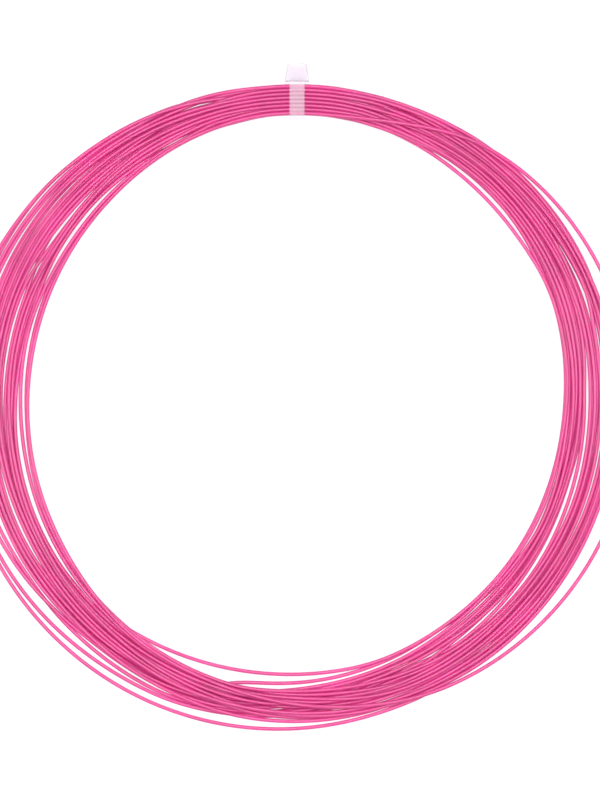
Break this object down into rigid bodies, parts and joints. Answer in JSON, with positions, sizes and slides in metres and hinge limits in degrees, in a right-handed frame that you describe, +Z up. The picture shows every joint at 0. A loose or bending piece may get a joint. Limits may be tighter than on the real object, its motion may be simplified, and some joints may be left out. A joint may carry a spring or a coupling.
{
  "type": "tied coil of fishing line",
  "caption": "Loose flat coil of translucent fishing line, bound at one point by a small nylon cable tie with a separate sprung pawl.",
  "frame": {"origin": "middle of the part's footprint, on the surface that it lies on", "axes": "+Z up out of the coil's plane; +Y towards the cable tie"},
  "size_m": [0.1602, 0.1592, 0.006],
  "materials": {
    "line": "translucent, satin",
    "tie": "translucent natural nylon, moulded"
  },
  "bodies": {
    "coil": {"line_coil": "line"},
    "tie": {"tie_head": "tie", "tie_strap": "tie"},
    "pawl": {"tie_pawl": "tie"}
  },
  "joints": [
    {"name": "tie_slide", "type": "hinge", "parent": "coil", "child": "tie", "pos_m": [0, -0.00178, 0.0033], "axis": [0, 0, -1], "range_deg": [-4, 4]},
    {"name": "pawl_flex", "type": "hinge", "parent": "tie", "child": "pawl", "pos_m": [0, 0.07591, 0.00259], "axis": [1, 0, 0], "range_deg": [0, 12], "stiffness_Nm_per_rad": 0.005}
  ]
}
